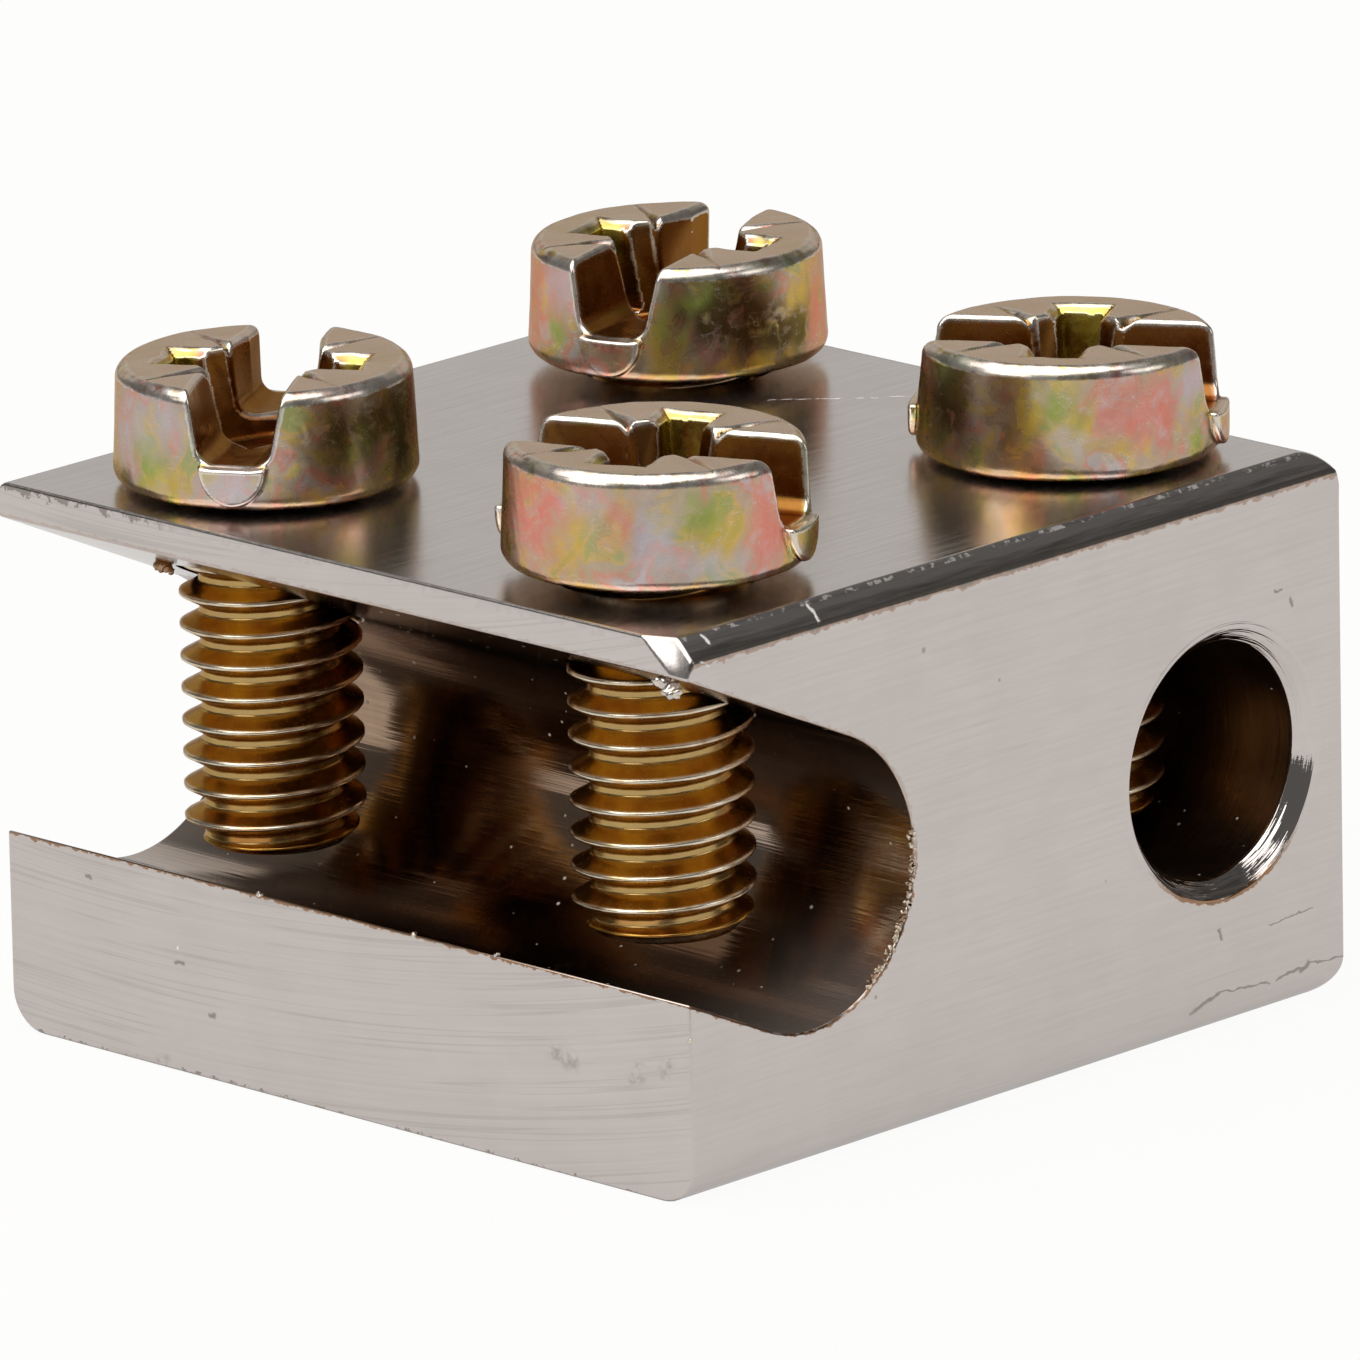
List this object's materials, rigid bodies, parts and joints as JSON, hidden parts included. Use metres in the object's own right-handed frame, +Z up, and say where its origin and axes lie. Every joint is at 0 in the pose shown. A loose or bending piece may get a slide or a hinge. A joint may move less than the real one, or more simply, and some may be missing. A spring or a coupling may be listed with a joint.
{
  "type": "ground clamp",
  "caption": "Earthing clamp block with a slanted open wire slot, a wire bore, and clamping screws with slotted cross-recess heads.",
  "frame": {"origin": "middle of the block's flat underside", "axes": "+Z up, out of the screw heads; +X along the slot and the bore; +Y from the slot's open face to the bore's side"},
  "size_m": [0.02, 0.02, 0.0149],
  "materials": {
    "nickel_plated_block": "satin nickel plating over brass, drawn and sawn",
    "passivated_screw": "zinc plating with an iridescent yellow passivation"
  },
  "bodies": {
    "block": {"clamp_body": "nickel_plated_block"},
    "slot_screw_left": {"slot_screw_left": "passivated_screw"},
    "slot_screw_right": {"slot_screw_right": "passivated_screw"},
    "bore_screw_left": {"bore_screw_left": "passivated_screw"},
    "bore_screw_right": {"bore_screw_right": "passivated_screw"}
  },
  "joints": [
    {"name": "slot_screw_left_travel", "type": "slide", "parent": "block", "child": "slot_screw_left", "axis": [0, 0, 1], "range_m": [-0.00008, 0.006]},
    {"name": "slot_screw_right_travel", "type": "slide", "parent": "block", "child": "slot_screw_right", "axis": [0, 0, 1], "range_m": [-0.00031, 0.006]},
    {"name": "bore_screw_left_travel", "type": "slide", "parent": "block", "child": "bore_screw_left", "axis": [0, 0, 1], "range_m": [-0.00029, 0.006]},
    {"name": "bore_screw_right_travel", "type": "slide", "parent": "block", "child": "bore_screw_right", "axis": [0, 0, 1], "range_m": [-0.00006, 0.006]}
  ]
}
